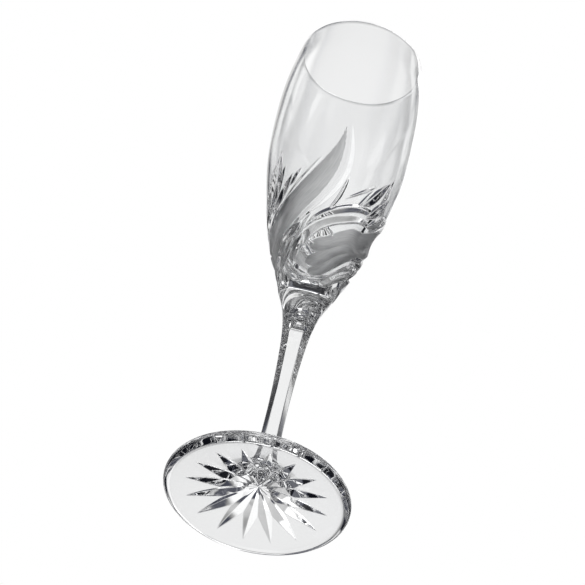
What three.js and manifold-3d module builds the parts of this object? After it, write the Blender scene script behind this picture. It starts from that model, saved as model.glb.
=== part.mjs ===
// Cut-crystal champagne flute.
// Three gathers of glass, hot-welded end to end on one axis: a blown bowl with a thick, deeply cut base, a drawn
// stem ground to six flats, and a domed foot with a star cut into its underside.
// Millimetres, +Z up. The origin is the centre of the ring that the foot stands on.
import * as THREE from "three";
import { mergeVertices } from "three/addons/utils/BufferGeometryUtils.js";
import Module from "manifold-3d";

// ---- driving dimensions ----
const HEIGHT = 230; // rim above the table
const STEM_WELD_Z = 90; // bowl to stem weld plane
const FOOT_WELD_Z = 14; // stem to foot weld plane
const FOOT_WELD_R = 6.35; // radius of the glass at the foot weld
const CAVITY_FLOOR_Z = 104.4; // bottom of the drink's space
const ROUND_SEGMENTS = 60;
const REPEATS = 3; // the swirl pattern repeats every 120 degrees

const STEM_FLATS = 6;
const STAR_RAYS = 16;
const STAR_RADIUS = 27.8; // reach of the star's points
const STAR_DEPTH = 2.15; // depth of each ray at the centre
const STAR_FIRST_RAY = 2.5; // degrees from +X
const MITRE_HALF_ANGLE = 60; // half of the V wheel's included angle

// Outer radius of bowl and stem against height.
const OUTER = [
  [14, 6.35], [15.7, 5.5], [18.9, 4.65], [22, 4.32], [26, 4.12], [30, 4.02], [36, 3.95], [45, 3.9], [54, 4.05], [62, 4.28], [70, 4.62],
  [76, 5.0], [80, 5.33], [84, 5.76], [87, 6.2], [90, 6.72], [94, 7.66], [98, 8.98], [101, 10.15], [104, 11.3],
  [110, 13.5], [116, 15.6], [122, 17.6], [130, 19.95], [138, 21.95], [146, 23.6], [154, 25.15], [162, 26.6],
  [170, 27.6], [178, 28.15], [186, 28.45], [194, 28.55], [202, 28.38], [210, 27.85], [218, 26.97], [226, 25.7],
  [229.2, 25.05],
];
// Inner radius of the bowl against height, from the rim down to the floor of the cavity.
const INNER = [
  [229.2, 23.95], [224, 24.75], [213, 26.25], [202, 27.0], [191, 27.08], [180, 26.68], [170, 25.8],
  [160, 24.05], [150, 21.6], [141, 19.1], [132, 16.35], [124, 13.6], [117, 11.0], [112, 8.9], [109, 7.25],
  [107, 5.85], [105.6, 4.4], [104.8, 2.9],
];
// Distance of the stem's six flats from the axis against height: parallel to the stem, and running out as round-ended
// petals on the flares above and below it.
const FLATS = [
  [7.7, 14.3], [8.1, 12.9], [8.6, 11.4], [9.14, 10.15], [9.9, 8.9], [10.65, 7.95], [11.8, 6.95], [12.9, 6.2], [14, 5.62],
  [15.7, 4.92], [18.9, 4.13], [22, 3.8], [26, 3.6], [30, 3.5], [36, 3.42], [45, 3.38], [54, 3.5], [62, 3.7], [70, 4.0],
  [76, 4.3], [80, 4.6], [83, 4.87], [85, 5.12], [86.5, 5.46], [88, 6.0], [89, 6.6], [90.5, 7.7],
];
// Foot: the top face from the weld outwards, the rounded edge, the standing ring and the domed underside.
const FOOT = [
  [0, 14], [6.35, 14], [7, 12.95], [7.9, 11.8], [9, 10.75], [10, 9.95], [11, 9.25], [12.4, 8.5], [14, 7.8], [16, 7.15],
  [18.5, 6.55], [22, 5.85], [27, 5.0], [31, 4.4], [34.1, 3.8], [35.1, 3.42], [35.72, 2.7], [35.9, 1.8], [35.64, 0.8], [34.95, 0.16],
  [34.0, 0], [31.4, 0], [30.6, 0.22], [27.5, 0.86], [23, 1.68], [18, 2.42], [12, 3.08], [6, 3.47], [0, 3.6],
];

// One repeat of the swirl cut, as strokes of a round wheel: stations of [degrees round the bowl, height, depth],
// and the wheel's nose radius. A negative depth has the wheel clear of the glass, so a stroke ends in a point.
const STROKES = [
  // upper satin band, running up into the long leaf point
  { r: 7.5, at: [[-152, 104, -0.6], [-140, 108, 0.3], [-120, 113.5, 0.9], [-100, 118.5, 1.2], [-80, 124.5, 1.35], [-60, 129.3, 1.35], [-42, 134, 1.3], [-26, 140, 1.15], [-13, 147.5, 0.9], [-4, 156.5, 0.55], [-0.5, 166, 0.15], [0.6, 175, -0.5]] },
  // lower satin band, one step down
  { r: 6.0, at: [[-150, 101.5, -0.6], [-134, 104.5, 0.5], [-112, 108.8, 0.95], [-90, 114.0, 1.1], [-70, 119.5, 1.0], [-52, 124.0, 0.7], [-38, 128.5, 0.3], [-26, 133, -0.5]] },
  // polished split beside the leaf
  { r: 1.6, at: [[-2, 127, -0.4], [3, 131, 0.35], [7, 136, 0.6], [10.5, 141.5, 0.5], [13.5, 149.5, -0.4]] },
  // polished splits under the next leaf
  { r: 2.0, at: [[8, 133.5, -0.4], [20, 138.5, 0.6], [32, 144, 0.7], [42, 149.5, 0.4], [50, 155, -0.5]] },
  { r: 2.4, at: [[30, 131, -0.4], [42, 138, 0.9], [50, 146, 0.9], [56, 152.5, 0.5], [60, 159.5, -0.5]] },
  { r: 2.4, at: [[50, 132, -0.4], [62, 137, 0.9], [74, 141.5, 0.8], [84, 148, 0.3], [88, 151.5, -0.4]] },
];

const wasm = await Module();
wasm.setup();

// A closed three.js geometry as a solid.
function solid(geometry) {
  const g = geometry.clone();
  for (const name of Object.keys(g.attributes)) if (name !== "position") g.deleteAttribute(name);
  const merged = mergeVertices(g, 1e-4);
  const triVerts = new Uint32Array(merged.index.array);
  const make = () => new wasm.Manifold(new wasm.Mesh({ numProp: 3, vertProperties: new Float32Array(merged.attributes.position.array), triVerts }));
  let made = make();
  if (made.volume() < 0) {
    for (let i = 0; i < triVerts.length; i += 3) [triVerts[i + 1], triVerts[i + 2]] = [triVerts[i + 2], triVerts[i + 1]];
    made = make();
  }
  return made;
}

function geometryOf(manifold) {
  const m = manifold.getMesh();
  const position = new Float32Array(m.numVert * 3);
  for (let i = 0; i < m.numVert; i++) position.set(m.vertProperties.subarray(i * m.numProp, i * m.numProp + 3), i * 3);
  const g = new THREE.BufferGeometry();
  g.setAttribute("position", new THREE.BufferAttribute(position, 3));
  g.setIndex(new THREE.BufferAttribute(new Uint32Array(m.triVerts), 1));
  g.computeVertexNormals();
  return g;
}

// [height, radius] pairs as a smooth function of height.
function radiusAt(table, z) {
  const up = table[0][0] < table[table.length - 1][0] ? table : [...table].reverse();
  const n = up.length;
  let i = 0;
  while (i < n - 2 && z > up[i + 1][0]) i++;
  const slope = (k) => {
    const a = up[Math.max(0, k - 1)], b = up[Math.min(n - 1, k + 1)];
    return (b[1] - a[1]) / (b[0] - a[0]);
  };
  const [z0, r0] = up[i], [z1, r1] = up[i + 1];
  const h = z1 - z0, t = (z - z0) / h, t2 = t * t, t3 = t2 * t;
  return (2 * t3 - 3 * t2 + 1) * r0 + (t3 - 2 * t2 + t) * h * slope(i) + (-2 * t3 + 3 * t2) * r1 + (t3 - t2) * h * slope(i + 1);
}

// A turned solid about Z from [radius, height] pairs.
function turned(profile, segments = ROUND_SEGMENTS) {
  const g = new THREE.LatheGeometry(profile.map(([r, z]) => new THREE.Vector2(r, z)), segments);
  g.rotateX(Math.PI / 2);
  return solid(g);
}

// ---- bowl ----
function bowlBlank() {
  const profile = [[0, STEM_WELD_Z]];
  for (const [z, r] of OUTER) if (z >= STEM_WELD_Z) profile.push([r, z]);
  profile.push([24.82, HEIGHT - 0.25], [24.5, HEIGHT], [24.2, HEIGHT - 0.25]); // fire-polished lip
  for (const [z, r] of INNER) profile.push([r, z]);
  profile.push([0, CAVITY_FLOOR_Z]);
  return turned(profile);
}

// One stroke of the wheel as a swept round bar that dips into the blank.
function stroke({ r, at }, turn) {
  const points = at.map(([degrees, z, depth]) => {
    const a = THREE.MathUtils.degToRad(degrees + turn - 90); // 0 degrees faces -Y
    const slope = (radiusAt(OUTER, z + 0.5) - radiusAt(OUTER, z - 0.5)) / 1;
    const k = 1 / Math.hypot(1, slope);
    const out = r - depth; // distance of the bar's line outside the surface, along its normal
    const radius = radiusAt(OUTER, z) + out * k;
    return new THREE.Vector3(radius * Math.cos(a), radius * Math.sin(a), z - out * slope * k);
  });
  const path = new THREE.CatmullRomCurve3(points, false, "centripetal");
  const section = new THREE.Shape();
  section.absarc(0, 0, r, 0, Math.PI * 2, false);
  return solid(new THREE.ExtrudeGeometry(section, { steps: Math.round(at.length * 1.5), extrudePath: path, curveSegments: r > 4 ? 14 : 6 }));
}

function bowl() {
  let made = bowlBlank();
  for (let k = 0; k < REPEATS; k++) for (const s of STROKES) made = made.subtract(stroke(s, (k * 360) / REPEATS));
  return made;
}

// ---- stem ----
function stem() {
  const rows = [];
  for (const [z] of [...OUTER, ...FLATS]) if (z > FOOT_WELD_Z + 0.5 && z < STEM_WELD_Z - 0.5 && !rows.some((r) => Math.abs(r - z) < 0.9)) rows.push(z);
  rows.sort((a, b) => a - b);
  rows.unshift(FOOT_WELD_Z);
  rows.push(STEM_WELD_Z);
  const profile = [[0, FOOT_WELD_Z], ...rows.map((z) => [radiusAt(OUTER, z), z]), [0, STEM_WELD_Z]];
  const g = new THREE.LatheGeometry(profile.map(([r, z]) => new THREE.Vector2(r, z)), STEM_FLATS * 8);
  g.rotateX(Math.PI / 2);
  grindFlats(g);
  return solid(g);
}

// No point of the round blank stays outside its nearest flat.
function grindFlats(g) {
  const p = g.attributes.position;
  const step = (2 * Math.PI) / STEM_FLATS;
  for (let i = 0; i < p.count; i++) {
    const x = p.getX(i), y = p.getY(i), z = p.getZ(i), r = Math.hypot(x, y);
    if (r < 1e-6 || z < FLATS[0][0]) continue;
    const a = Math.atan2(y, x) + Math.PI / 2; // from -Y
    const off = a - Math.round(a / step) * step;
    const k = Math.min(1, radiusAt(FLATS, z) / Math.cos(off) / r);
    p.setXY(i, x * k, y * k);
  }
}

// ---- foot ----
// Height of the domed underside.
const domeAt = (r) => radiusAt(FOOT.slice(-8).map(([a, z]) => [a, z]), r);

function ray(turn) {
  // A wedge along +X with its ridge up. The ridge dips to meet the dome where the ray's point runs out.
  const drop = 8, length = STAR_RADIUS + 0.8;
  const wide = drop * Math.tan(THREE.MathUtils.degToRad(MITRE_HALF_ANGLE));
  const v = new THREE.Shape();
  v.moveTo(-wide, -drop);
  v.lineTo(wide, -drop);
  v.lineTo(0, 0);
  v.closePath();
  const g = new THREE.ExtrudeGeometry(v, { depth: length + 0.05, steps: 6, bevelEnabled: false });
  g.translate(0, 0, -0.05);
  g.rotateX(Math.PI / 2);
  g.rotateZ(Math.PI / 2);
  const p = g.attributes.position;
  for (let i = 0; i < p.count; i++) {
    const x = Math.max(0, p.getX(i));
    p.setZ(i, p.getZ(i) + domeAt(x) + STAR_DEPTH * (1 - (x / STAR_RADIUS) ** 2));
  }
  g.rotateZ(THREE.MathUtils.degToRad(STAR_FIRST_RAY) + turn);
  return solid(g);
}

function foot() {
  const g = new THREE.LatheGeometry(FOOT.map(([r, z]) => new THREE.Vector2(r, z)), STAR_RAYS * 4);
  g.rotateX(Math.PI / 2);
  g.rotateZ(THREE.MathUtils.degToRad(STAR_FIRST_RAY));
  grindFlats(g);
  let made = solid(g);
  for (let k = 0; k < STAR_RAYS; k++) made = made.subtract(ray((k * 2 * Math.PI) / STAR_RAYS));
  return made;
}

const crystal = () => new THREE.MeshStandardMaterial({ color: 0xf2f4f5, roughness: 0.03, metalness: 0, transparent: true, opacity: 0.35 });

function part(name, made) {
  const mesh = new THREE.Mesh(geometryOf(made), crystal());
  mesh.name = name;
  return mesh;
}

const flute = new THREE.Group();
flute.add(part("foot", foot()), part("stem", stem()), part("bowl", bowl()));

export default flute;
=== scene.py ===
"""Cut-crystal champagne flute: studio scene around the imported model. Metres, +Z up, same frame as the CAD."""
import bpy, math
import numpy as np
from mathutils import Matrix, Vector


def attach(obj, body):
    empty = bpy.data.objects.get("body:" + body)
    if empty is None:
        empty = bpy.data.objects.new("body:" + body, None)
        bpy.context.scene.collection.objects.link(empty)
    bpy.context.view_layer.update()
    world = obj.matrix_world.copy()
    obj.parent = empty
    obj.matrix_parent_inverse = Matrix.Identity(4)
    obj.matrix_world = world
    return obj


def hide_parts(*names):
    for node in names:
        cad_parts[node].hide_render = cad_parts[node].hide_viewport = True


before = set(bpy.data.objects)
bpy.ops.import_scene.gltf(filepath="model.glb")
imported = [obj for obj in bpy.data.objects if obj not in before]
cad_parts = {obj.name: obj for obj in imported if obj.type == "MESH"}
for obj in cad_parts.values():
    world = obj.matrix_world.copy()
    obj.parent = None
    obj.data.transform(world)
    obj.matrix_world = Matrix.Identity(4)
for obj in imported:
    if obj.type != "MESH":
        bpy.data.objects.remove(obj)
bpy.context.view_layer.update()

MM = 0.001
scene = bpy.context.scene

# ------------------------------------------------------------------ camera
# The studio camera is below foot level and looks up along the glass, which leans right in the frame.
F_PX, SIDE = 4400.0, 585.0
PAN, TILT, ROLL = -0.0043, 0.7052, 0.2414
eye = Vector((0.0, -1.3031, -1.0068))
fwd = Vector((math.sin(PAN) * math.cos(TILT), math.cos(PAN) * math.cos(TILT), math.sin(TILT)))
side = Vector((math.cos(PAN), -math.sin(PAN), 0.0))
up0 = side.cross(fwd)
right = side * math.cos(ROLL) + up0 * math.sin(ROLL)
upv = -side * math.sin(ROLL) + up0 * math.cos(ROLL)
eye = eye + right * 0.00047 - upv * 0.00012
cam_data = bpy.data.cameras.new("studio_camera")
cam_data.sensor_fit = "AUTO"
cam_data.sensor_width = 36.0
cam_data.lens = 36.0 * F_PX / SIDE
cam_data.clip_start, cam_data.clip_end = 0.05, 50.0
cam = bpy.data.objects.new("studio_camera", cam_data)
scene.collection.objects.link(cam)
cam.matrix_world = Matrix((
    (right.x, upv.x, -fwd.x, eye.x),
    (right.y, upv.y, -fwd.y, eye.y),
    (right.z, upv.z, -fwd.z, eye.z),
    (0, 0, 0, 1)))
scene.camera = cam

# ------------------------------------------------------------------ profiles (mm)
OUTER = np.array([
  [14, 6.35], [15.7, 5.5], [18.9, 4.65], [22, 4.32], [26, 4.12], [30, 4.02], [36, 3.95], [45, 3.9], [54, 4.05], [62, 4.28], [70, 4.62],
  [76, 5.0], [80, 5.33], [84, 5.76], [87, 6.2], [90, 6.72], [94, 7.66], [98, 8.98], [101, 10.15], [104, 11.3],
  [110, 13.5], [116, 15.6], [122, 17.6], [130, 19.95], [138, 21.95], [146, 23.6], [154, 25.15], [162, 26.6],
  [170, 27.6], [178, 28.15], [186, 28.45], [194, 28.54], [202, 28.38], [210, 27.85], [218, 26.97], [226, 25.7],
  [229.2, 25.05]])
INNER = np.array([
  [104.8, 2.9], [105.6, 4.4], [107, 5.85], [109, 7.25], [112, 8.9], [117, 11.0], [124, 13.6], [132, 16.35], [141, 19.1],
  [150, 21.6], [160, 24.05], [170, 25.8], [180, 26.68], [191, 27.08], [202, 27.0], [213, 26.25], [224, 24.75],
  [229.2, 23.95]])
FLATS = np.array([
  [7.7, 14.3], [8.1, 12.9], [8.6, 11.4], [9.14, 10.15], [9.9, 8.9], [10.65, 7.95], [11.8, 6.95], [12.9, 6.2], [14, 5.62],
  [15.7, 4.92], [18.9, 4.13], [22, 3.8], [26, 3.6], [30, 3.5], [36, 3.42], [45, 3.38], [54, 3.5], [62, 3.7], [70, 4.0],
  [76, 4.3], [80, 4.6], [83, 4.87], [85, 5.12], [86.5, 5.46], [88, 6.0], [89, 6.6], [90.5, 7.7]])


def smooth(table, z):
    """Monotone-ish cubic through a table of (z, value) rows."""
    t = np.asarray(table, float)
    x, y = t[:, 0], t[:, 1]
    m = np.empty(len(x))
    m[1:-1] = (y[2:] - y[:-2]) / (x[2:] - x[:-2])
    m[0] = (y[1] - y[0]) / (x[1] - x[0])
    m[-1] = (y[-1] - y[-2]) / (x[-1] - x[-2])
    z = np.asarray(z, float)
    i = np.clip(np.searchsorted(x, z) - 1, 0, len(x) - 2)
    h = x[i + 1] - x[i]
    s = (z - x[i]) / h
    s2, s3 = s * s, s * s * s
    return ((2 * s3 - 3 * s2 + 1) * y[i] + (s3 - 2 * s2 + s) * h * m[i]
            + (-2 * s3 + 3 * s2) * y[i + 1] + (s3 - s2) * h * m[i + 1])


# ------------------------------------------------------------------ the wheel-cut pattern, one of three repeats
# Each stroke: kind, satin?, stations (degrees round the bowl from -Y towards +X, height mm, half width mm, depth mm)
# kinds: u round flute, v mitre, l / s / r mitre with its deep side to the left / a little right / right of travel
CUTS = [
    # satin flutes: the long leaf and the two below its root
    ("u", 1, [(-128, 115.5, 1.0, 0.2), (-118, 116.0, 3.0, 0.9), (-103, 118.0, 3.4, 1.2), (-87, 122.0, 3.8, 1.35),
              (-74, 124.9, 4.4, 1.45), (-60, 126.0, 4.9, 1.5), (-46.6, 129.6, 5.3, 1.5), (-37, 133.3, 5.5, 1.45),
              (-27, 137.0, 5.4, 1.35), (-17, 141.6, 5.1, 1.2), (-9, 147.0, 4.6, 1.0), (-4, 152.0, 3.8, 0.8),
              (-0.6, 158.0, 2.5, 0.5), (0.6, 163.5, 1.25, 0.28), (0.2, 169.6, 0.05, 0.0)]),
    ("u", 1, [(-130, 108.5, 1.0, 0.2), (-121, 109.6, 2.6, 0.9), (-107, 112.0, 3.0, 1.2), (-93, 116.0, 3.1, 1.3),
              (-80, 119.5, 2.9, 1.2), (-68, 121.6, 2.2, 0.9), (-56, 122.8, 1.0, 0.4)]),
    ("u", 1, [(-128, 103.6, 0.8, 0.2), (-118, 104.9, 2.0, 0.8), (-105, 106.9, 2.5, 1.1), (-92, 110.7, 2.7, 1.2),
              (-80, 115.0, 2.5, 1.1), (-68, 118.6, 1.9, 0.8), (-56, 121.0, 0.8, 0.3)]),
    # clear companion leaf below the satin one, steep on its right
    ("s", 0, [(-36, 123.6, 0.8, 0.15), (-24, 128.6, 1.7, 0.5), (-10, 134.2, 2.4, 0.75), (-1, 140.6, 3.0, 0.9),
              (5.6, 148.0, 3.3, 1.0), (7.2, 156.0, 2.7, 0.85), (5.2, 165.0, 1.7, 0.5), (1.2, 176.6, 0.1, 0.0)]),
    # slender curved mitre
    ("v", 0, [(1, 129.6, 0.2, 0.1), (5.3, 133.0, 0.7, 0.85), (9.3, 136.8, 0.8, 1.0), (11.7, 140.5, 0.8, 1.0),
              (13.3, 144.9, 0.65, 0.8), (14.2, 149.2, 0.15, 0.1)]),
    # fine cuts above the satin leaf
    ("v", 0, [(-48, 136.9, 0.3, 0.1), (-38, 141.2, 0.9, 0.5), (-27, 146.5, 0.9, 0.5), (-18, 151.8, 0.7, 0.4), (-12, 156.0, 0.1, 0.0)]),
    ("l", 0, [(-44, 142.0, 0.3, 0.2), (-40, 144.2, 1.0, 0.8), (-36.5, 146.4, 1.1, 0.8), (-32, 149.3, 0.1, 0.0)]),
    # polished arcs over the satin roots: one repeat on, at the right
    ("l", 0, [(-22, 122.3, 0.4, 0.2), (-12, 126.0, 1.1, 0.8), (0, 129.3, 1.6, 1.2), (14.7, 132.7, 1.85, 1.4), (31, 136.4, 1.85, 1.4),
              (47, 138.9, 1.5, 1.1), (58, 140.2, 0.6, 0.3)]),
    ("r", 0, [(-40, 108.8, 0.6, 0.3), (-30, 114.0, 1.3, 1.0), (-18, 119.2, 1.7, 1.4), (-5, 123.3, 1.8, 1.6), (9, 126.6, 1.8, 1.6),
              (25, 129.8, 1.7, 1.5), (40, 133.0, 1.4, 1.2), (54, 134.2, 0.7, 0.4)]),
    # short nicks across the fan's root
    ("v", 0, [(3.5, 124.1, 0.2, 0.2), (7, 123.5, 0.65, 1.3), (13, 122.2, 0.65, 1.3), (18, 121.2, 0.15, 0.2)]),
    ("v", 0, [(-21, 117.9, 0.15, 0.2), (-15, 117.6, 0.5, 1.0), (-7, 116.4, 0.4, 0.9), (-2.5, 115.4, 0.1, 0.1)]),
    ("v", 0, [(-24, 113.4, 0.15, 0.2), (-18, 113.2, 0.45, 0.9), (-11, 112.2, 0.15, 0.2)]),
    # lower lip of the fan
    ("r", 0, [(-48, 111.0, 0.4, 0.2), (-41, 108.6, 1.4, 1.2), (-30, 106.2, 1.8, 1.6), (-15, 104.2, 1.8, 1.7), (0, 103.3, 1.7, 1.6),
              (15, 103.9, 1.6, 1.5), (30, 106.2, 1.5, 1.4), (45, 110.8, 1.5, 1.3), (58, 115.6, 1.4, 1.1), (70, 118.8, 1.0, 0.7), (80, 120.6, 0.3, 0.2)]),
    ("r", 0, [(20, 101.2, 0.3, 0.2), (34, 103.0, 1.5, 0.9), (50, 108.0, 2.0, 1.2), (66, 112.0, 1.8, 1.1), (82, 115.0, 0.6, 0.3)]),
    # leaf cuts left of the fan
    ("l", 0, [(-62, 118.4, 0.3, 0.3), (-52, 119.2, 1.1, 1.7), (-42, 120.7, 1.8, 2.4), (-34, 122.6, 1.7, 2.2), (-27, 124.8, 0.2, 0.2)]),
    ("r", 0, [(-42, 107.6, 0.4, 0.4), (-38, 111.0, 1.2, 1.8), (-32, 115.6, 1.4, 2.1), (-24, 119.8, 0.3, 0.3)]),
    ("v", 0, [(-33, 117.2, 0.2, 0.1), (-27, 121.4, 0.8, 0.6), (-21, 125.2, 0.8, 0.6), (-14.5, 129.2, 0.1, 0.1)]),
    ("v", 0, [(-16, 125.2, 0.2, 0.2), (-11.5, 126.2, 0.9, 0.8), (-5, 127.9, 0.15, 0.1)]),
    ("v", 0, [(-88, 101.5, 0.2, 0.1), (-76, 105.0, 1.2, 0.9), (-62, 109.8, 1.3, 1.0), (-48, 114.5, 0.9, 0.6), (-38, 118.4, 0.2, 0.1)]),
    ("v", 0, [(-78, 110.5, 0.2, 0.1), (-68, 112.8, 1.0, 0.7), (-56, 115.8, 1.0, 0.7), (-46, 118.2, 0.2, 0.1)]),
    # spray of splits between this fan and the next satin leaf
    ("v", 0, [(17, 138.0, 0.3, 0.2), (27, 142.0, 0.55, 0.8), (37, 146.8, 0.6, 0.9), (49.5, 153.4, 0.1, 0.0)]),
    ("v", 0, [(36, 138.0, 0.6, 0.4), (44, 143.6, 1.9, 1.2), (51, 149.6, 1.8, 1.1), (60, 158.6, 0.1, 0.0)]),
    ("v", 0, [(49, 136.6, 0.6, 0.4), (56, 141.6, 1.9, 1.2), (62, 146.6, 1.6, 1.0), (69, 152.8, 0.1, 0.0)]),
    ("v", 0, [(56, 134.2, 0.6, 0.4), (64, 138.2, 1.7, 1.1), (71, 142.4, 1.5, 1.0), (79, 147.8, 0.1, 0.0)]),
    ("v", 0, [(30, 134.8, 0.4, 0.2), (36, 139.6, 1.2, 0.9), (41, 145.2, 1.0, 0.7), (45, 150.2, 0.1, 0.0)]),
    ("v", 0, [(58, 140.8, 0.3, 0.2), (60.5, 147.0, 1.1, 0.9), (61.5, 153.0, 0.8, 0.6), (62.0, 162.5, 0.1, 0.0)]),
]

REPEATS = 3


def densify(st, n=14):
    st = np.array(st, float)
    k = len(st)
    out = []
    for i in range(k - 1):
        p0 = st[max(0, i - 1)]; p1 = st[i]; p2 = st[i + 1]; p3 = st[min(k - 1, i + 2)]
        for s in np.arange(n) / n:
            q = 0.5 * ((2 * p1) + (p2 - p0) * s + (2 * p0 - 5 * p1 + 4 * p2 - p3) * s * s + (3 * p1 - p0 - 3 * p2 + p3) * s ** 3)
            out.append(q)
    out.append(st[-1])
    out = np.array(out)
    out[:, 2] = np.maximum(out[:, 2], 0.03)
    out[:, 3] = np.maximum(out[:, 3], 0.0)
    return out


def profile(kind, u, depth):
    """Depth across a stroke, u from -1 (left edge) to 1 (right edge)."""
    if kind == "u":
        return depth * (1 - u * u)
    c = {"v": 0.0, "l": -0.45, "r": 0.55, "s": 0.25}[kind]
    w = np.where(u < c, (u + 1) / (c + 1), (1 - u) / (1 - c))
    k = 0.06                                       # the wheel's own nose radius keeps the valley from being a knife line
    soft = 1 - np.sqrt((1 - w) ** 2 + k * k) + k * 0.5
    return depth * np.clip(soft, 0, None)


def carve(theta, z, radius):
    """Depth and satin mask (plus along/across coordinates) of the pattern at points of the blank."""
    n = len(theta)
    depth = np.zeros(n)
    satin = np.full(n, -1.0)
    along = np.zeros(n)
    across = np.zeros(n)
    edge = np.zeros(n)
    lean = np.sqrt(1 + ((smooth(OUTER, z + 0.4) - smooth(OUTER, z - 0.4)) / 0.8) ** 2)
    for kind, matt, stations in CUTS:
        c = densify(stations)
        for turn in (-240, -120, 0, 120, 240):
            a = c[:, 0] + turn
            lo, hi = a.min() - 12, a.max() + 12
            near = (theta > lo) & (theta < hi) & (z > c[:, 1].min() - 8) & (z < c[:, 1].max() + 8)
            idx = np.nonzero(near)[0]
            if not len(idx):
                continue
            R = radius[idx][:, None]
            X = np.radians(theta[idx][:, None] - a[None, :]) * R
            Y = (z[idx][:, None] - c[None, :, 1]) * lean[idx][:, None]
            ax, ay = X[:, :-1], Y[:, :-1]
            dx, dy = ax - X[:, 1:], ay - Y[:, 1:]          # from station j to j+1
            t = np.clip((ax * dx + ay * dy) / (dx * dx + dy * dy + 1e-9), 0, 1)
            ex, ey = ax - dx * t, ay - dy * t
            dist = np.sqrt(ex * ex + ey * ey)
            w = c[None, :-1, 2] * (1 - t) + c[None, 1:, 2] * t
            j = np.argmin(dist / w, axis=1)
            rows = np.arange(len(idx))
            tj = t[rows, j]
            w = w[rows, j]
            d = c[j, 3] * (1 - tj) + c[j + 1, 3] * tj
            sign = np.sign(dx[rows, j] * ey[rows, j] - dy[rows, j] * ex[rows, j])
            u = -sign * dist[rows, j] / w               # negative on the left of travel
            inside = np.abs(u) < 1
            cut = np.where(inside, profile(kind, np.clip(u, -1, 1), d), 0.0)
            deeper = inside & (cut > depth[idx] + 1e-6)
            m = idx[deeper]
            depth[m] = cut[deeper]
            satin[m] = 1.0 if matt else -1.0
            along[m] = (j + tj)[deeper] * 0.6
            across[m] = (u * w)[deeper]
            edge[m] = np.abs(u)[deeper]
    return depth, satin, along, across, edge


def ring_mesh(name, grid, close_top=None, close_bottom=None, mats=(), face_mat=None):
    """A closed body from rows x columns of points, columns wrapping round; poles are single points."""
    rows, cols = grid.shape[:2]
    verts = grid.reshape(-1, 3) * MM
    r = np.arange(rows - 1)[:, None]
    c = np.arange(cols)[None, :]
    a = r * cols + c
    b = r * cols + (c + 1) % cols
    quads = np.stack([a, b, b + cols, a + cols], axis=-1).reshape(-1, 4)
    polys = [tuple(q) for q in quads.tolist()]
    mat_index = [0] * len(polys) if face_mat is None else face_mat.reshape(-1).tolist()
    verts = verts.tolist()
    for point, row, flip, slot in ((close_bottom, 0, True, 0), (close_top, rows - 1, False, 0)):
        if point is None:
            continue
        p, slot = point
        verts.append([v * MM for v in p])
        k = len(verts) - 1
        for i in range(cols):
            x, y = row * cols + i, row * cols + (i + 1) % cols
            polys.append((y, x, k) if flip else (x, y, k))
            mat_index.append(slot)
    me = bpy.data.meshes.new(name)
    me.from_pydata(verts, [], polys)
    me.polygons.foreach_set("material_index", np.array(mat_index, dtype=np.int32))
    me.polygons.foreach_set("use_smooth", np.ones(len(polys), dtype=bool))
    for m in mats:
        me.materials.append(m)
    me.update()
    # the weld caps meet the wall in a sharp rim
    caps = {row * cols for point, row in ((close_bottom, 0), (close_top, rows - 1)) if point is not None and point[1] > 0}
    if caps:
        ends = np.empty(len(me.edges) * 2, dtype=np.int64)
        me.edges.foreach_get("vertices", ends)
        ends = ends.reshape(-1, 2)
        sharp = np.zeros(len(ends), dtype=bool)
        for first in caps:
            sharp |= ((ends >= first) & (ends < first + cols)).all(axis=1)
        at = me.attributes.get("sharp_edge") or me.attributes.new("sharp_edge", "BOOLEAN", "EDGE")
        at.data.foreach_set("value", sharp)
    ob = bpy.data.objects.new(name, me)
    scene.collection.objects.link(ob)
    return ob


# ------------------------------------------------------------------ materials
def node_material(name):
    m = bpy.data.materials.new(name)
    m.use_nodes = True
    nt = m.node_tree
    nt.nodes.clear()
    out = nt.nodes.new("ShaderNodeOutputMaterial")
    bsdf = nt.nodes.new("ShaderNodeBsdfPrincipled")
    nt.links.new(bsdf.outputs[0], out.inputs[0])
    return m, nt, bsdf


def add(nt, kind, **values):
    n = nt.nodes.new(kind)
    for k, v in values.items():
        if hasattr(n, k):
            setattr(n, k, v)
        else:
            n.inputs[k].default_value = v
    return n


def crystal(name, tint=(0.99, 0.993, 0.995), wave=0.004, scale=90.0):
    """Clear lead crystal: fire-polished, with the faint waviness of hand-worked glass."""
    m, nt, bsdf = node_material(name)
    L = nt.links.new
    bsdf.inputs["Base Color"].default_value = (*tint, 1)
    bsdf.inputs["Roughness"].default_value = 0.0
    bsdf.inputs["IOR"].default_value = 1.545
    bsdf.inputs["Transmission Weight"].default_value = 1.0
    co = add(nt, "ShaderNodeTexCoord")
    n1 = add(nt, "ShaderNodeTexNoise", Scale=scale, Detail=1.5, Roughness=0.4)
    L(co.outputs["Object"], n1.inputs["Vector"])
    # thin seed-like variation of the polish
    n2 = add(nt, "ShaderNodeTexNoise", Scale=420.0, Detail=2.0)
    L(co.outputs["Object"], n2.inputs["Vector"])
    ramp = add(nt, "ShaderNodeMapRange")
    ramp.inputs["From Min"].default_value = 0.55
    ramp.inputs["From Max"].default_value = 0.85
    ramp.inputs["To Min"].default_value = 0.0
    ramp.inputs["To Max"].default_value = 0.012
    L(n2.outputs["Fac"], ramp.inputs["Value"])
    L(ramp.outputs["Result"], bsdf.inputs["Roughness"])
    bump = add(nt, "ShaderNodeBump", Strength=wave, Distance=0.0006)
    L(n1.outputs["Fac"], bump.inputs["Height"])
    L(bump.outputs["Normal"], bsdf.inputs["Normal"])
    return m


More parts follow.
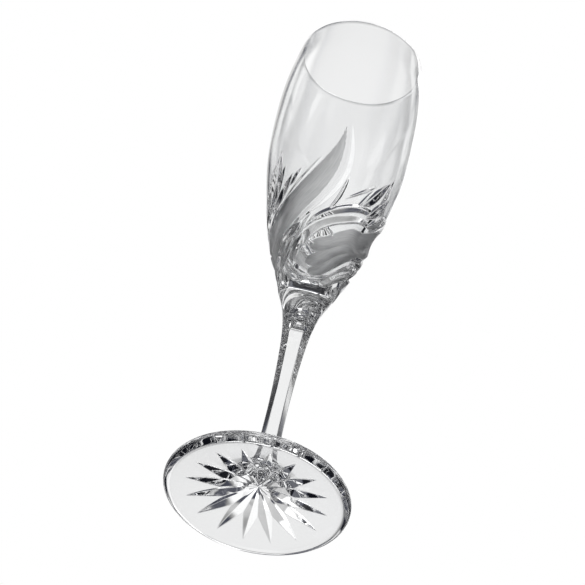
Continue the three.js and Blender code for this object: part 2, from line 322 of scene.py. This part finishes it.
def satin_crystal(name):
    """Wheel-ground, unpolished crystal: frosted, with fine streaks along each stroke; its grey base colour is painted
    shade, and its lighter streaks are grinding streaks with painted highlight lines laid over them.
    """
    m, nt, bsdf = node_material(name)
    L = nt.links.new
    bsdf.inputs["IOR"].default_value = 1.545
    bsdf.inputs["Transmission Weight"].default_value = 1.0
    uv = add(nt, "ShaderNodeAttribute", attribute_name="stroke")
    mp = add(nt, "ShaderNodeMapping")
    mp.inputs["Scale"].default_value = (0.05, 1.7, 1.0)
    L(uv.outputs["Vector"], mp.inputs["Vector"])
    streak = add(nt, "ShaderNodeTexNoise", Scale=2.2, Detail=4.0, Roughness=0.6)
    L(mp.outputs["Vector"], streak.inputs["Vector"])
    co = add(nt, "ShaderNodeTexCoord")
    grain = add(nt, "ShaderNodeTexNoise", Scale=2600.0, Detail=2.0)
    L(co.outputs["Object"], grain.inputs["Vector"])
    # painted shade and highlight: the base colour is greyed darker than clear glass to stand for the frosted surface's
    # shade, and the light end of the streaks paints highlight lines over the grinding streaks
    streaks_and_painted_shade = add(nt, "ShaderNodeValToRGB")
    streaks_and_painted_shade.color_ramp.elements[0].position = 0.3
    streaks_and_painted_shade.color_ramp.elements[0].color = (0.36, 0.37, 0.375, 1)
    streaks_and_painted_shade.color_ramp.elements[1].position = 0.72
    streaks_and_painted_shade.color_ramp.elements[1].color = (0.72, 0.72, 0.72, 1)
    L(streak.outputs["Fac"], streaks_and_painted_shade.inputs["Fac"])
    L(streaks_and_painted_shade.outputs["Color"], bsdf.inputs["Base Color"])
    rr = add(nt, "ShaderNodeMapRange")
    rr.inputs["To Min"].default_value = 0.42
    rr.inputs["To Max"].default_value = 0.62
    L(streak.outputs["Fac"], rr.inputs["Value"])
    L(rr.outputs["Result"], bsdf.inputs["Roughness"])
    mix = add(nt, "ShaderNodeMath", operation="ADD")
    L(streak.outputs["Fac"], mix.inputs[0])
    L(grain.outputs["Fac"], mix.inputs[1])
    bump = add(nt, "ShaderNodeBump", Strength=0.12, Distance=0.0002)
    L(mix.outputs["Value"], bump.inputs["Height"])
    L(bump.outputs["Normal"], bsdf.inputs["Normal"])
    return m


def fused(name):
    """The weld plane inside the glass: no optical boundary."""
    m, nt, bsdf = node_material(name)
    bsdf.inputs["Base Color"].default_value = (1, 1, 1, 1)
    bsdf.inputs["Roughness"].default_value = 0.0
    bsdf.inputs["IOR"].default_value = 1.0
    bsdf.inputs["Transmission Weight"].default_value = 1.0
    return m


M_BOWL = crystal("crystal_bowl")
M_STEM = crystal("crystal_stem", wave=0.004)
M_FOOT = crystal("crystal_foot", wave=0.004)
M_SATIN = satin_crystal("crystal_satin")
M_WELD = fused("crystal_weld")

# ------------------------------------------------------------------ bowl
WELD_TOP, WELD_FOOT, GAP = 90.0, 14.0, 0.01
COLS = 480


def build_bowl():
    th = -180 + 360.0 * np.arange(COLS) / COLS
    z_out = np.concatenate([
        np.linspace(WELD_TOP + GAP, 99.6, 13), np.arange(100.0, 170.0, 0.29), np.arange(170.2, 178.0, 0.6),
        np.linspace(179.5, 229.2, 24)])
    TH, Z = np.meshgrid(th, z_out)
    R = smooth(OUTER, Z)
    depth, satin, along, across, edge = carve(TH.ravel(), Z.ravel(), R.ravel())
    depth = depth.reshape(TH.shape)
    slope = (smooth(OUTER, Z + 0.3) - smooth(OUTER, Z - 0.3)) / 0.6
    k = 1 / np.sqrt(1 + slope ** 2)
    r = R - depth * k
    zz = Z + depth * slope * k
    a = np.radians(TH) - math.pi / 2
    outer = np.stack([r * np.cos(a), r * np.sin(a), zz], axis=-1)
    lip = [(24.86, 229.75), (24.66, 229.93), (24.5, 230.0), (24.34, 229.93), (24.14, 229.75)]
    inn_z = np.concatenate([np.linspace(229.2, 110, 54), np.linspace(109.2, 104.8, 13)])
    inn = [(float(smooth(INNER, z)), float(z)) for z in inn_z] + [(1.9, 104.57), (0.9, 104.44)]
    th_r = np.radians(th) - math.pi / 2
    rest = np.array([[[rr * math.cos(x), rr * math.sin(x), z0] for x in th_r] for rr, z0 in lip + inn])
    grid = np.concatenate([outer, rest])
    rows = len(grid)
    fm = np.zeros((rows - 1, COLS), dtype=np.int32)
    s = satin.reshape(TH.shape)
    # a face is satin when most of its corners are
    sm = (s > 0).astype(int)
    tot = sm[:-1] + sm[1:] + np.roll(sm, -1, 1)[:-1] + np.roll(sm, -1, 1)[1:]
    fm[:len(z_out) - 1] = (tot >= 3).astype(np.int32)
    ob = ring_mesh("crystal_bowl", grid, close_top=((0, 0, 104.4), 0), close_bottom=((0, 0, WELD_TOP + GAP), 2),
                   mats=(M_BOWL, M_SATIN, M_WELD), face_mat=fm)
    me = ob.data
    at = me.attributes.new("stroke", "FLOAT_VECTOR", "POINT")
    data = np.zeros((len(me.vertices), 3))
    data[:along.size, 0] = along
    data[:along.size, 1] = across
    data[:along.size, 2] = edge
    at.data.foreach_set("vector", data.ravel())
    return ob


# ------------------------------------------------------------------ stem
def build_stem():
    cols = 6 * 28
    th = np.arange(cols) * 2 * math.pi / cols
    zs = np.concatenate([np.linspace(WELD_FOOT + GAP, 24, 30), np.linspace(24.6, 76, 70), np.linspace(76.4, WELD_TOP - GAP, 50)])
    A, Z = np.meshgrid(th, zs)
    step = math.pi / 3
    off = A - np.round(A / step) * step
    R = smooth(OUTER, Z)
    F = smooth(FLATS, Z) / np.cos(off)
    h = 0.07                                        # the polished arris between two flats
    r = (R + F - np.sqrt((R - F) ** 2 + h * h)) / 2
    a = A - math.pi / 2
    grid = np.stack([r * np.cos(a), r * np.sin(a), Z], axis=-1)
    fm = np.zeros((len(zs) - 1, cols), dtype=np.int32)
    return ring_mesh("crystal_stem", grid, close_top=((0, 0, WELD_TOP - GAP), 1), close_bottom=((0, 0, WELD_FOOT + GAP), 1),
                     mats=(M_STEM, M_WELD), face_mat=fm)


# ------------------------------------------------------------------ foot
TOP = np.array([[6.35, 14], [7, 12.95], [9, 10.75], [11, 9.25], [14, 7.8], [18.5, 6.55], [22, 5.85],
                [27, 5.0], [31, 4.35], [33.6, 3.9]])
UNDER = np.array([[0, 3.6], [6, 3.47], [12, 3.08], [18, 2.42], [23, 1.68], [27.5, 0.86], [30.6, 0.22], [31.4, 0.0]])
STAR_R, STAR_D, STAR_A0, RAYS = 27.8, 2.15, math.radians(2.5), 16


def star_depth(r, a):
    step = 2 * math.pi / RAYS
    off = (a - STAR_A0) - np.round((a - STAR_A0) / step) * step
    y = np.abs(r * np.sin(off))
    x = r * np.cos(off)
    d = STAR_D * (1 - (x / STAR_R) ** 2)
    return np.clip(d - np.sqrt(y * y + 0.03 ** 2) / math.tan(math.radians(60)), 0, None)


def build_foot():
    cols = RAYS * 36
    # columns crowd towards the middle of each ray, where the cut is narrow
    base = np.linspace(-1, 1, 37)[:-1]
    warped = np.sign(base) * np.abs(base) ** 1.35
    step = 2 * math.pi / RAYS
    th = np.concatenate([STAR_A0 + k * step + warped * step / 2 for k in range(RAYS)])
    rs_under = np.concatenate([np.linspace(0.4, 27.0, 74), np.linspace(27.2, 28.0, 4), np.linspace(28.6, 31.4, 8)])
    rows = []
    for r in rs_under:
        z = float(smooth(UNDER, r)) + star_depth(r, th)
        rows.append(np.stack([r * np.cos(th), r * np.sin(th), z], axis=-1))
    edge = [(32.2, 0.0), (32.9, 0.0), (33.2, 0.04), (33.6, 0.19), (34.2, 0.5), (34.8, 0.82), (35.3, 1.14), (35.66, 1.5), (35.83, 1.9),
            (35.86, 2.3), (35.78, 2.65), (35.55, 3.02), (35.15, 3.38), (34.6, 3.66), (34.1, 3.8)]
    top_r = np.concatenate([np.linspace(33.5, 15.2, 40), np.linspace(14.8, 6.6, 44)])
    t = TOP[::-1]
    top = [(float(r), float(smooth(TOP, r))) for r in top_r] + [(6.35, 14.0 - GAP)]
    hexa = math.pi / 3
    off = (th + math.pi / 2) - np.round((th + math.pi / 2) / hexa) * hexa
    for r, z in edge + top:
        rr = np.full(cols, r)
        if z > 7.75 and r < 15:                        # the stem's six flats run out here as petals
            f = smooth(FLATS, z) / np.cos(off)
            rr = (r + f - np.sqrt((r - f) ** 2 + 0.07 ** 2)) / 2
        rows.append(np.stack([rr * np.cos(th), rr * np.sin(th), np.full(cols, z)], axis=-1))
    grid = np.array(rows)[::-1]                       # weld first, underside last: faces out
    fm = np.zeros((len(grid) - 1, cols), dtype=np.int32)
    return ring_mesh("crystal_foot", grid, close_bottom=((0, 0, WELD_FOOT - GAP), 1), close_top=((0, 0, 3.6 + STAR_D - 0.02), 0),
                     mats=(M_FOOT, M_WELD), face_mat=fm)


def outward(ob):
    """Make sure the body's faces point out."""
    me = ob.data
    n = len(me.vertices)
    co = np.empty(n * 3); me.vertices.foreach_get("co", co); co = co.reshape(-1, 3)
    vol = 0.0
    me.calc_loop_triangles()
    tri = np.empty(len(me.loop_triangles) * 3, dtype=np.int64)
    me.loop_triangles.foreach_get("vertices", tri)
    tri = tri.reshape(-1, 3)
    vol = np.einsum("ij,ij->i", co[tri[:, 0]], np.cross(co[tri[:, 1]], co[tri[:, 2]])).sum() / 6
    if vol < 0:
        me.flip_normals()
    return abs(vol) * 1e6


bowl = build_bowl()
stem = build_stem()
foot = build_foot()
for ob, node in ((bowl, "bowl"), (stem, "stem"), (foot, "foot")):
    print(ob.name, "cm3", round(outward(ob), 2), "polygons", len(ob.data.polygons))
    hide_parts(node)
    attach(ob, "root")

# ------------------------------------------------------------------ stage and light
def build_floor():
    """A pale one-sided floor: it fades into the backdrop, and light that has come up through it doesn't see it again."""
    me = bpy.data.meshes.new("floor")
    n = 96
    vs = [(0, 0, -0.0002)]
    rings = [0.1, 0.25, 0.5, 0.8, 1.2, 2.0, 3.5, 6.0]
    for rr in rings:
        vs += [(rr * math.cos(i * 2 * math.pi / n), rr * math.sin(i * 2 * math.pi / n), -0.0002) for i in range(n)]
    fs = [(0, 1 + i, 1 + (i + 1) % n) for i in range(n)]
    for k in range(len(rings) - 1):
        for i in range(n):
            a, b = 1 + k * n + i, 1 + k * n + (i + 1) % n
            fs.append((a, a + n, b + n, b))
    me.from_pydata(vs, [], fs)
    me.update()
    ob = bpy.data.objects.new("floor", me)
    scene.collection.objects.link(ob)
    m = bpy.data.materials.new("pale_floor")
    m.use_nodes = True
    nt = m.node_tree
    nt.nodes.clear()
    L = nt.links.new

    def maths(op, a, b):
        n = nt.nodes.new("ShaderNodeMath")
        n.operation = op
        for i, v in enumerate((a, b)):
            if isinstance(v, (int, float)):
                n.inputs[i].default_value = v
            else:
                L(v, n.inputs[i])
        return n.outputs[0]

    out = nt.nodes.new("ShaderNodeOutputMaterial")
    dif = nt.nodes.new("ShaderNodeBsdfDiffuse")
    dif.inputs["Color"].default_value = (0.9, 0.9, 0.9, 1)
    clear = nt.nodes.new("ShaderNodeBsdfTransparent")
    geo = nt.nodes.new("ShaderNodeNewGeometry")
    co = nt.nodes.new("ShaderNodeTexCoord")
    path = nt.nodes.new("ShaderNodeLightPath")
    ln = nt.nodes.new("ShaderNodeVectorMath"); ln.operation = "LENGTH"
    L(co.outputs["Object"], ln.inputs[0])
    fade = nt.nodes.new("ShaderNodeMapRange")
    fade.interpolation_type = "SMOOTHSTEP"
    fade.inputs["From Min"].default_value = 0.18
    fade.inputs["From Max"].default_value = 1.0
    L(ln.outputs["Value"], fade.inputs["Value"])
    seen = maths("MULTIPLY", fade.outputs["Result"], path.outputs["Is Camera Ray"])
    through = maths("GREATER_THAN", path.outputs["Transparent Depth"], 0.5)
    gone = maths("MAXIMUM", maths("MAXIMUM", seen, through), geo.outputs["Backfacing"])
    glow = nt.nodes.new("ShaderNodeEmission")
    glow.inputs["Strength"].default_value = 0.62
    both = nt.nodes.new("ShaderNodeAddShader")
    L(dif.outputs[0], both.inputs[0])
    L(glow.outputs[0], both.inputs[1])
    mix = nt.nodes.new("ShaderNodeMixShader")
    L(gone, mix.inputs["Fac"])
    L(both.outputs[0], mix.inputs[1])
    L(clear.outputs[0], mix.inputs[2])
    L(mix.outputs[0], out.inputs[0])
    me.materials.append(m)
    return ob


floor = build_floor()

# world: a bright sweep behind the glass, softboxes and black cards round it, placed in the studio's own frame:
# h degrees to the right of the sweep's middle, v degrees above it. The rig stands square to the camera stand.
BASE = 0.015
# (h low, h high, v low, v high, softness, brightness), painted one over another
PANELS = [
    # the lit sweep, brighter round its edge, and the dark gap it stands in
    (-30, 30, -45, 45, 6, 0.14),
    (-22, 28, -22, 16, 5, 0.72), (9, 28, -20, 16, 5, 1.12), (-10, 10, -9, 16, 8, 0.96), (-6, 14, 20, 35, 4, 1.3), (28, 38, -6, 6, 4, 0.35),
    (-28, -20, -6, 13, 3, 0.40),
    # strip lights and reflectors at its sides
    (20, 28, 6, 27, 3, 1.9), (13, 28, 27, 45, 4, 2.3), (-50, -38, 5, 18, 4, 0.8), (-38, -28, 6, 27, 4, 0.9),
    (-58, -36, 29, 44, 9, 1.05), (56, 110, 22, 35, 8, 0.5), (38, 48, 9, 20, 3, 0.7), (38, 51, -3, 7, 3, 0.9), (85, 110, 21, 27, 3, 1.4),
    (-85, -65, -13, 0, 4, 1.7), (-20, -13, -35, -20, 3, 1.8), (-36, 0, -45, -35, 4, 2.4), (-38, -28, -20, -6, 4, 0.4),
    (65, 110, -45, -27, 6, 0.65),
    # overhead
    (-200, 200, 50, 100, 14, 0.30),
    # behind the camera stand
    (110, 150, 24, 48, 16, 0.7), (108, 150, -32, -16, 12, 1.0), (-175, -140, -52, -24, 14, 1.0),
]


def build_world():
    w = bpy.data.worlds.new("studio")
    scene.world = w
    w.use_nodes = True
    nt = w.node_tree
    nt.nodes.clear()
    L = nt.links.new

    def math_node(op, *args):
        n = nt.nodes.new("ShaderNodeMath")
        n.operation = op
        for i, v in enumerate(args):
            if isinstance(v, (int, float)):
                n.inputs[i].default_value = v
            else:
                L(v, n.inputs[i])
        return n.outputs[0]

    def dot(v, source):
        n = nt.nodes.new("ShaderNodeVectorMath")
        n.operation = "DOT_PRODUCT"
        L(source, n.inputs[0])
        n.inputs[1].default_value = v
        return n.outputs["Value"]

    def step(value, lo, hi):
        n = nt.nodes.new("ShaderNodeMapRange")
        n.interpolation_type = "SMOOTHSTEP"
        n.inputs["From Min"].default_value = lo
        n.inputs["From Max"].default_value = hi
        L(value, n.inputs["Value"])
        return n.outputs["Result"]

    tc = nt.nodes.new("ShaderNodeTexCoord")
    nrm = nt.nodes.new("ShaderNodeVectorMath"); nrm.operation = "NORMALIZE"
    L(tc.outputs["Generated"], nrm.inputs[0])
    d = nrm.outputs[0]
    deg = 180 / math.pi
    h = math_node("MULTIPLY", math_node("ARCTAN2", dot(tuple(right), d), dot(tuple(fwd), d)), deg)
    v = math_node("MULTIPLY", math_node("ARCSINE", dot(tuple(upv), d)), deg)
    z = dot((0, 0, 1), d)
    el = math_node("MULTIPLY", math_node("ARCSINE", z), deg)

    last = None

    def over(mask, value):
        nonlocal last
        if last is None:
            n = nt.nodes.new("ShaderNodeValue")
            n.outputs[0].default_value = value
            last = n.outputs[0]
            return
        n = nt.nodes.new("ShaderNodeMix")
        n.data_type = "FLOAT"
        L(mask, n.inputs[0])
        L(last, n.inputs[2])
        n.inputs[3].default_value = value
        last = n.outputs[0]

    over(None, BASE)
    for h0, h1, v0, v1, soft, value in PANELS:
        m = math_node("MULTIPLY", step(h, h0 - soft / 2, h0 + soft / 2), step(math_node("MULTIPLY", h, -1.0), -h1 - soft / 2, -h1 + soft / 2))
        m = math_node("MULTIPLY", m, step(v, v0 - soft / 2, v0 + soft / 2))
        m = math_node("MULTIPLY", m, step(math_node("MULTIPLY", v, -1.0), -v1 - soft / 2, -v1 + soft / 2))
        over(m, value)

    # a cold light low down in front, which the star picks up
    cold = math_node("MULTIPLY", step(math_node("MULTIPLY", v, -1.0), 46.0, 50.0), step(v, -66.0, -62.0))
    cold = math_node("MULTIPLY", cold, math_node("MULTIPLY", step(h, -92.0, -86.0), step(math_node("MULTIPLY", h, -1.0), 8.0, 14.0)))
    over(cold, 0.22)

    # the far horizon, level with the glass, is as pale as the backdrop
    level = math_node("MULTIPLY", step(el, -5.0, -2.5), step(math_node("MULTIPLY", el, -1.0), -11.0, -7.0))
    last = math_node("MAXIMUM", last, math_node("MULTIPLY", level, 0.93))

    # darks are a cold blue-black, lights neutral
    tint = nt.nodes.new("ShaderNodeValToRGB")
    tint.color_ramp.elements[0].position = 0.0
    tint.color_ramp.elements[0].color = (0.55, 0.62, 1.0, 1)
    tint.color_ramp.elements[1].position = 0.30
    tint.color_ramp.elements[1].color = (1, 1, 1, 1)
    L(last, tint.inputs["Fac"])
    bg = nt.nodes.new("ShaderNodeBackground")
    L(tint.outputs["Color"], bg.inputs["Color"])
    L(last, bg.inputs["Strength"])
    white = nt.nodes.new("ShaderNodeBackground")
    white.inputs["Color"].default_value = (1, 1, 1, 1)
    white.inputs["Strength"].default_value = 1.0
    lp = nt.nodes.new("ShaderNodeLightPath")
    mixs = nt.nodes.new("ShaderNodeMixShader")
    L(lp.outputs["Is Camera Ray"], mixs.inputs["Fac"])
    L(bg.outputs[0], mixs.inputs[1])
    L(white.outputs[0], mixs.inputs[2])
    L(mixs.outputs[0], out_of(nt))
    return w


def out_of(nt):
    return nt.nodes.new("ShaderNodeOutputWorld").inputs["Surface"]


def direction(az, el):
    """az from +Y towards +X, degrees."""
    a, e = math.radians(az), math.radians(el)
    return (math.sin(a) * math.cos(e), math.cos(a) * math.cos(e), math.sin(e))


build_world()

scene.view_settings.view_transform = "Standard"
scene.view_settings.look = "None"
scene.view_settings.gamma = 0.84
try:
    cy = scene.cycles
    cy.max_bounces = 40
    cy.transmission_bounces = 36
    cy.glossy_bounces = 16
    cy.transparent_max_bounces = 16
    cy.diffuse_bounces = 4
except Exception as e:
    print("cycles settings:", e)
